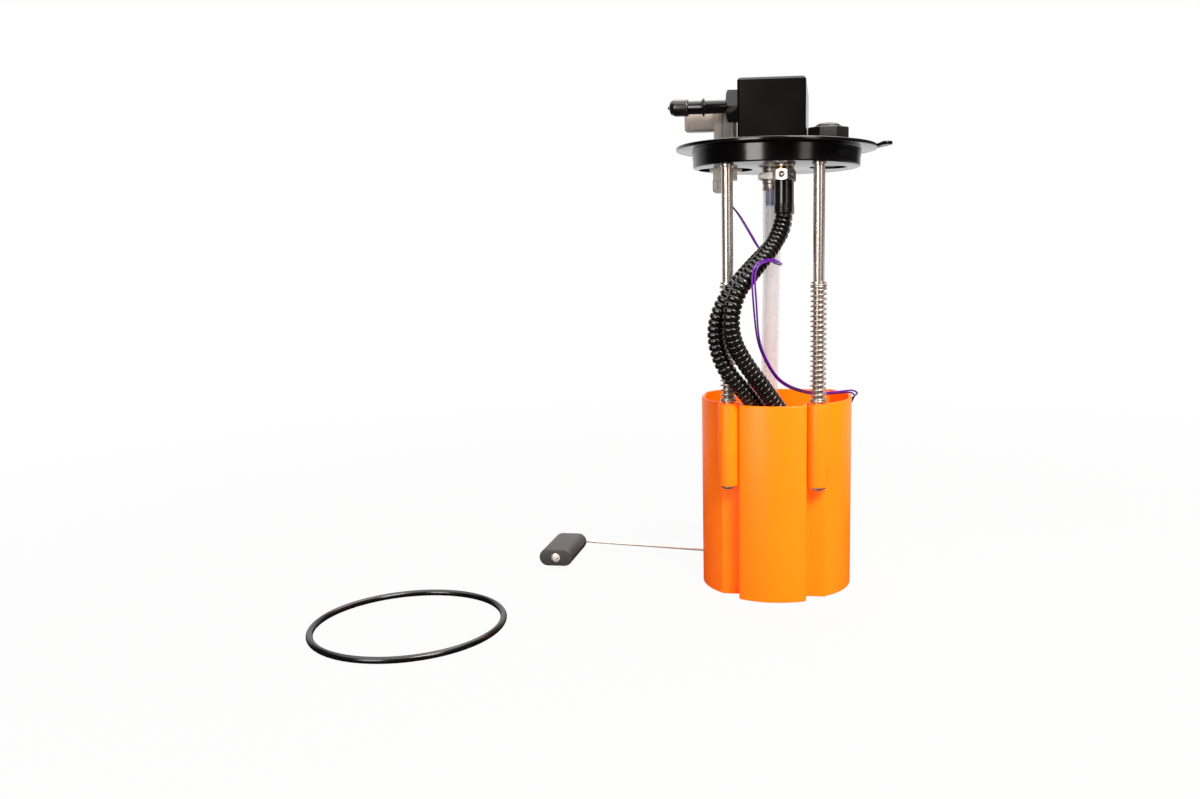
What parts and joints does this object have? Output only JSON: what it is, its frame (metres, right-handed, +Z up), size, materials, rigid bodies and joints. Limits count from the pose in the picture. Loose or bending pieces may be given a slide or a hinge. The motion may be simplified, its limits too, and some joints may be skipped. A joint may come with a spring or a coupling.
{
  "type": "fuel pump module",
  "caption": "In-tank fuel pump module: a flange with a manifold block on sprung guide rods over an open pump reservoir, with hoses, a level float and a loose tank seal.",
  "frame": {"origin": "centre of the reservoir's base, on the surface that it stands on", "axes": "+X from the left guide rod to the right one, +Y to the level sender at the back, +Z up along the guide rods to the flange"},
  "size_m": [0.3919, 0.2624, 0.3685],
  "materials": {
    "black_anodised": "satin black anodised",
    "polished_steel": "polished",
    "bright_fitting": "bright zinc",
    "orange_plastic": "semi gloss",
    "grey_plastic": "satin",
    "white_plastic": "satin",
    "black_plastic": "satin",
    "float_foam": "fine closed-cell foam skin",
    "hose_black": "satin, finely ribbed",
    "seal_rubber": "smooth",
    "cap_vinyl": "gloss dip-moulded",
    "clear_tube": "clear",
    "blue_plastic": "semi gloss",
    "purple_wire": "satin insulation",
    "red_wire": "satin insulation",
    "black_wire": "satin insulation",
    "pump_metal": "plain drawn can",
    "screen": "woven screen",
    "terminal_metal": "tin plated"
  },
  "bodies": {
    "reservoir": {"reservoir_shell": "orange_plastic", "guide_bushes": "orange_plastic", "strainer": "screen", "left_fuel_pump": "pump_metal", "right_fuel_pump": "pump_metal", "pump_end_caps": "black_plastic", "pump_outlets": "black_plastic", "pump_cradle": "black_plastic", "sender_housing": "black_plastic", "sender_screws": "polished_steel", "lower_hose_cuffs": "hose_black", "return_nozzle": "black_plastic", "left_spring": "polished_steel", "right_spring": "polished_steel", "front_feed_hose": "hose_black", "rear_feed_hose": "hose_black", "return_tube": "clear_tube", "sender_wire_front": "purple_wire", "sender_wire_rear": "purple_wire", "power_wire_positive": "red_wire", "power_wire_negative": "black_wire"},
    "hanger": {"flange": "black_anodised", "rod_screws": "polished_steel", "left_guide_rod": "polished_steel", "right_guide_rod": "polished_steel", "rod_end_clips": "polished_steel", "spring_retainers": "polished_steel", "manifold_block": "black_anodised", "block_screws": "black_anodised", "port_plug": "black_anodised", "quick_connect": "black_anodised", "vent_valve_base": "black_anodised", "vent_valve_cap": "black_plastic", "bulkhead_connector": "grey_plastic", "connector_terminals": "terminal_metal", "connector_circlip": "polished_steel", "lower_plug": "white_plastic", "plug_lock": "black_plastic", "front_feed_fitting": "black_anodised", "rear_feed_fitting": "black_anodised", "return_fitting": "bright_fitting", "return_sleeve": "blue_plastic", "upper_hose_cuffs": "hose_black"},
    "float_arm": {"arm_hub": "white_plastic", "float_arm": "polished_steel", "level_float": "float_foam", "float_push_nut": "polished_steel"},
    "dust_cap": {"dust_cap": "cap_vinyl"},
    "tank_seal": {"tank_seal": "seal_rubber"}
  },
  "joints": [
    {"name": "hanger_slide", "type": "slide", "parent": "reservoir", "child": "hanger", "axis": [0, 0, -1], "range_m": [0, 0.055], "stiffness_N_per_m": 500, "springref_m": -0.055, "deforming": ["left_spring", "right_spring", "front_feed_hose", "rear_feed_hose", "return_tube", "sender_wire_front", "sender_wire_rear", "power_wire_positive", "power_wire_negative"]},
    {"name": "float_arm_pivot", "type": "hinge", "parent": "reservoir", "child": "float_arm", "pos_m": [0.008, 0.0583, 0.062], "axis": [0, 1, 0], "range_deg": [0, 75]},
    {"name": "dust_cap_pull", "type": "slide", "parent": "hanger", "child": "dust_cap", "axis": [-1, 0, 0], "range_m": [0, 0.02]},
    {"name": "tank_seal_lift", "type": "slide", "parent": "reservoir", "child": "tank_seal", "axis": [0, 0, 1], "range_m": [0, 0.08]}
  ]
}
